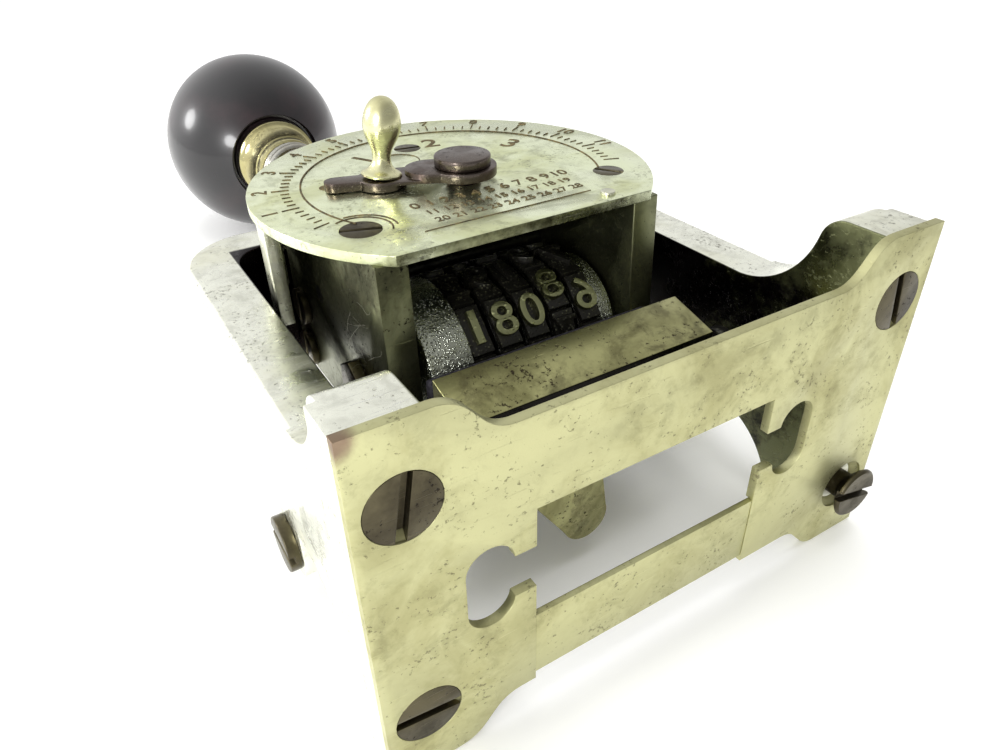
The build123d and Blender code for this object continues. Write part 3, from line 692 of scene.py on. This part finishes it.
def make_knob():
    """A turned brass knob: a long egg on a waisted foot, leaning a little with its bent stem."""
    low, high = span("pointer_knob")
    foot = Vector(((low.x + high.x) / 2, DIAL_FRONT - LEVER_TOP, (low.z + high.z) / 2))
    tall = (foot.y - low.y) / MM
    profile = [(0.0, 0.0), (2.55, 0.0), (2.8, 0.15), (2.85, 0.4), (2.65, 0.62), (2.35, 0.72), (1.9, 1.05),
               (1.5, 1.55), (1.3, 2.1), (1.24, 2.6), (1.3, 3.1)]
    neck, waist, crown, swell = 1.3, 3.1, 3.7, 2.62
    widest = tall - crown
    for k in range(1, 9):
        t = k / 8
        ease = math.sin(t * math.pi / 2) ** 1.5
        profile.append((neck + (swell - neck) * ease, waist + (widest - waist) * t))
    for k in range(1, 10):
        a = math.radians(10 * k)
        profile.append((swell * math.cos(a) ** 0.9 if k < 9 else 0.0, widest + crown * math.sin(a)))
    lean = Vector((0.13, -1.0, 0.02)).normalized()
    knob = turned("knob", profile, foot, lean, 56)
    finish_piece(knob, "knob", "selector_pointer", "brass", ("pointer_knob",), 40)


def make_return_spring():
    """A coil spring with closed ends."""
    low, high = span("return_spring")
    wire = 0.9 * MM
    mean = (high.x - low.x) / 2 - wire
    turns, per_turn = 13, 28
    points = []
    tall = high.z - low.z - 2 * wire
    for k in range(turns * per_turn + 1):
        turn = k / per_turn
        rise = min(max((turn - 1) / (turns - 2), 0), 1) * (tall - 2 * wire)
        rise += min(turn, 1) * wire + max(0, turn - (turns - 1)) * wire
        a = 2 * math.pi * turn
        points.append((mean * math.cos(a), BALL_CENTRE.y + mean * math.sin(a), low.z + wire + rise))
    spring = tube("spring", points, wire)
    finish_piece(spring, "spring", "carriage", "spring_steel", ("return_spring",), 60)
    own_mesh(spring)


def wheel_drum(left, right, radius, bore):
    """A drum with eased rims, its axis along X, between two X places in mm."""
    rim = 0.18
    wide = right - left
    profile = [(bore, 0), (radius - rim, 0), (radius, rim), (radius, wide - rim), (radius - rim, wide),
               (bore, wide), (bore, 0)]
    return turned("drum", profile, (left * MM, SHAFT.y, SHAFT.z), (1, 0, 0), 80)


def on_rim(obj, outward, centre, radius):
    """Lays a piece on a wheel's rim; its face looks outward and its top goes round."""
    right = Vector((1, 0, 0))
    up = outward.cross(right)
    turn = Matrix((right, up, outward)).transposed().to_4x4()
    obj.data.transform(Matrix.Translation(centre + outward * radius) @ turn)
    return obj


def mirrored(obj):
    """Turns a figure left for right, as on type, with its faces still outward."""
    obj.scale.x *= -1
    bpy.ops.object.transform_apply(location=False, rotation=False, scale=True)
    bpy.ops.object.mode_set(mode="EDIT")
    bpy.ops.mesh.select_all(action="SELECT")
    bpy.ops.mesh.remove_doubles(threshold=WELD)
    bpy.ops.mesh.normals_make_consistent(inside=False)
    bpy.ops.object.mode_set(mode="OBJECT")


def type_tablet(wide, tall, deep):
    bpy.ops.mesh.primitive_cube_add(size=1)
    tablet = bpy.context.object
    tablet.scale = (wide, tall, deep)
    bpy.ops.object.transform_apply(location=True, rotation=True, scale=True)
    bevelled(tablet, 0.12 * MM, 2)
    return tablet


def make_number_wheels():
    """Five type wheels. Their raised figures are mirrored, as type is; the fourth stands half turned."""
    shown = (1, 8, 0, 8, 6)
    step = 36.0
    ratchet_r = 9.5
    half_turned, half_turn = 3, -14.0
    front = 225.5            # the angle, from straight back, at which a figure faces the reader
    figure_tall, figure_wide = 5.0 * MM, 3.45 * MM
    tablet_tall, tablet_deep, face_deep = 6.9 * MM, 0.9 * MM, 0.75 * MM
    for index, value in enumerate(shown):
        node_name = f"number_wheel_{index + 1}"
        low, high = span(node_name)
        left, right = low.x / MM, high.x / MM
        drum_right = left + DRUM_WIDE
        radius = (high.z - low.z) / 2 - 0.25 * MM
        drum = wheel_drum(left, drum_right, radius / MM - 1.6, SHAFT_BORE)
        ratchet = wheel_drum(drum_right, right, ratchet_r, SHAFT_BORE)
        extra = half_turn if index == half_turned else 0.0
        centre = Vector((0.5 * (left + drum_right) * MM, SHAFT.y, SHAFT.z))
        tablets, worn, inked = [], [], []
        for k in range(10):
            angle = math.radians(front + extra + step * k)
            outward = Vector((0, math.cos(angle), math.sin(angle)))
            tablet = type_tablet(3.36 * MM, tablet_tall, tablet_deep)
            tablets.append(on_rim(tablet, outward, centre, radius - face_deep - tablet_deep / 2))
            text = str((value - k) % 10)
            figure = lettering(text, figure_tall * 1.36, face_deep + 0.1 * MM, 0.07 * MM)
            only(figure)
            figure.scale.x = figure_wide / max(figure.dimensions.x, 2.5 * MM)
            mirrored(figure)
            on_rim(figure, outward, centre, radius - face_deep / 2 - 0.05 * MM)
            figure.data.materials.clear()
            (worn if k == 0 else inked).append(figure)
        # Only the figure facing the reader is worn type metal; the others are drawn black like the drum,
        # partly ink and partly painted shade inside the wheel bay.
        worn, inked = joined(worn, "worn"), joined(inked, "inked")
        worn.data.materials.append(MATERIALS["type_metal"])
        block = joined([drum, ratchet, inked] + tablets, "block")
        block.data.materials.clear()
        block.data.materials.append(MATERIALS["wheel_black"])
        wheel = joined([block, worn], node_name + "_type")
        finish_piece(wheel, node_name + "_type", BODY_OF[node_name], "wheel_black", (node_name,), 30)


def dial_point(x, z, proud):
    return Vector((x * MM, DIAL_FRONT - proud * MM, z * MM))


def engraved_text(text, size, x, z, turn):
    """A numeral let into the dial plate, its fill a hair proud of the nickel."""
    piece = lettering(text, size * MM, LINE_DEEP, offset=size * 0.014 * MM)
    upright = Matrix.Rotation(math.pi / 2, 4, "X")
    spin = Matrix.Rotation(math.radians(turn), 4, "Y")
    piece.data.transform(Matrix.Translation(dial_point(x, z, 0.01)) @ spin @ upright)
    return piece


def engraved_line(points, width):
    return tube("line", [dial_point(x, z, 0.0) for x, z in points], width * MM, sides=1)


def arc_on_dial(radius, start, end, count):
    centre = DIAL_Z / MM
    points = []
    for k in range(count + 1):
        a = math.radians(start + (end - start) * k / count)
        points.append((radius * math.cos(a), centre + radius * math.sin(a)))
    return points


def make_dial_markings():
    """Generic graduations: positions 0 to 3 and 1 to 11, a border line, ticks and rows of numbers."""
    centre = DIAL_Z / MM
    pieces = [engraved_line(arc_on_dial(21.6, -28, 208, 70), 0.15)]
    # size, pitch, how many each side of the middle, height on the dial, first number
    rows = ((2.7, 2.3, 5, 42.6, 0), (2.0, 2.6, 4, 39.6, 11), (2.0, 2.6, 4, 36.8, 20))
    for size, pitch, half, z, first in rows:
        for k in range(-half, half + 1):
            pieces.append(engraved_text(str(first + k + half), size, 1.2 + pitch * k, z, 0))
    for k in range(61):
        a = math.radians(-20 + k * 220 / 60)
        inner, outer = (23.2, 25.6) if k % 5 == 0 else (23.2, 24.4)
        ends = [(r * math.cos(a), centre + r * math.sin(a)) for r in (inner, outer)]
        pieces.append(engraved_line(ends, 0.12))
    for k in range(1, 12):
        angle = 200 - k * 220 / 12
        a = math.radians(angle)
        x, z = 27.1 * math.cos(a), centre + 27.2 * math.sin(a)
        pieces.append(engraved_text(str(k), 3.0, x, z, 90 - angle))
    for value, angle in ((0, 161), (1, 118), (2, 76), (3, 31)):
        a = math.radians(angle)
        x, z = 17.2 * math.cos(a), 50.5 + 16.4 * math.sin(a)
        pieces.append(engraved_text(str(value), 5.6, x, z, 90 - angle))
    pieces.append(engraved_line([(-4.2 + 3.4 * math.cos(t), 61.2 + 3.4 * math.sin(t))
                                 for t in (math.radians(6 * k) for k in range(61))], 0.1))
    left_x, left_z = span("dial_screws")[0].x / MM + 2.7, 39.4
    for ring, start, end in ((4.0, -30, 118), (4.7, -10, 95)):
        turns = [math.radians(start + (end - start) * k / 24) for k in range(25)]
        curve = [(left_x + ring * math.cos(a), left_z + ring * math.sin(a)) for a in turns]
        pieces.append(engraved_line(curve, 0.14))
    pieces.append(engraved_line([(-13.0, 34.3), (12.2, 34.3)], 0.1))
    markings = joined(pieces, "dial_markings")
    markings.data.materials.clear()
    finish_piece(markings, "dial_markings", "carriage", "engraving")


def make_raised_screw():
    """The rear right base screw, which has worked loose and stands proud of the plate."""
    low, high = span("base_screw_rear_right")
    centre = (low + high) / 2
    head = (high.x - low.x) / 2 / MM
    proud = 2.5
    long = 8.0
    profile = [(0, long), (1.9, long), (1.95, 3.2), (2.0, 2.0), (head - 0.25, 0.85), (head, 0.55),
               (head, 0.25), (head - 0.3, 0.0), (0, 0.0)]
    screw = turned("loose_screw", profile, (centre.x, centre.y, -proud * MM), (0, 0, 1), 56)
    cutter_wide, cutter_deep, slot_angle = 1.2 * MM, 0.95 * MM, 14
    bpy.ops.mesh.primitive_cube_add(size=1, location=(centre.x, centre.y, -proud * MM))
    cutter = bpy.context.object
    cutter.scale = (12 * MM, cutter_wide, cutter_deep * 2)
    cutter.rotation_euler = (0, 0, math.radians(slot_angle))
    bpy.ops.object.transform_apply(location=True, rotation=True, scale=True)
    cut = screw.modifiers.new("slot", "BOOLEAN")
    cut.object = cutter
    cut.solver = "EXACT"
    apply_modifiers(screw)
    bpy.data.objects.remove(cutter)
    bevelled(screw, 0.06 * MM, 1, 50)
    finish_piece(screw, "loose_screw", "frame", "dark_steel", ("base_screw_rear_right",), 35)


FIBRES = 14
FIBRE_SEED = 12


def make_lint():
    """A few dust fibres caught on the oily side plate and at the mouth of the wheel bay."""
    random.seed(FIBRE_SEED)
    low, high = span("side_plate_left")
    fibres = []
    for _ in range(FIBRES):
        y = low.y + (high.y - low.y) * (0.12 + 0.5 * random.random())
        z = low.z + (high.z - low.z) * (0.02 + 0.28 * random.random())
        point = Vector((low.x - 0.1 * MM, y, z))
        way = Vector((-0.4 * random.random(), random.uniform(-1, 1), random.uniform(-1, 0.4)))
        points = [point.copy()]
        for _ in range(7):
            way += Vector((random.uniform(-0.3, 0.1), random.uniform(-0.6, 0.6), random.uniform(-0.6, 0.6)))
            point = point + way.normalized() * 0.45 * MM
            point.x = min(point.x, low.x - 0.05 * MM)
            points.append(point.copy())
        fibres.append(tube("fibre", points, 0.018 * MM, sides=0))
    lint = joined(fibres, "lint")
    finish_piece(lint, "lint", "carriage", "lint")


# The width in mm that each CAD piece has its edges eased by.
EASED = {
    "frame_yoke": 0.35, "base_plate": 0.14, "guide_strip": 0.08, "dial_plate": 0.18, "dial_housing": 0.15,
    "side_plate_left": 0.2, "side_plate_right": 0.2, "crosshead": 0.25, "ink_tray": 0.15,
    "inker_arm_left": 0.15, "inker_arm_right": 0.15, "pointer_lever": 0.15, "pointer_shaft": 0.22,
    "plunger_bush": 0.25, "inker_pivot_screws": 0.15, "crosshead_screws": 0.15, "shaft_nuts": 0.2,
    "feed_rocker": 0.15, "collar_left": 0.25, "collar_right": 0.25, "ink_pad": 0.4, "selector_cam": 0.1,
    "stop_washer": 0.1, "dial_pin": 0.1, "dial_screws": 0.06, "base_screws": 0.06,
}


def dress_cad_pieces():
    """Every other CAD piece keeps its shape and gets its finish."""
    for node_name, finish in FINISH_OF.items():
        obj = frame_object(node_name)
        for index in range(len(obj.material_slots)):
            obj.material_slots[index].material = finish
        if not obj.material_slots:
            obj.data.materials.append(finish)


def main():
    set_camera()
    set_stage()
    set_lights()
    dress_cad_pieces()
    for node_name, width in EASED.items():
        softened(node_name, width * MM)
    make_ball()
    make_ferrule()
    make_knob()
    make_return_spring()
    make_number_wheels()
    make_dial_markings()
    make_raised_screw()
    make_lint()
    start_clean()


main()
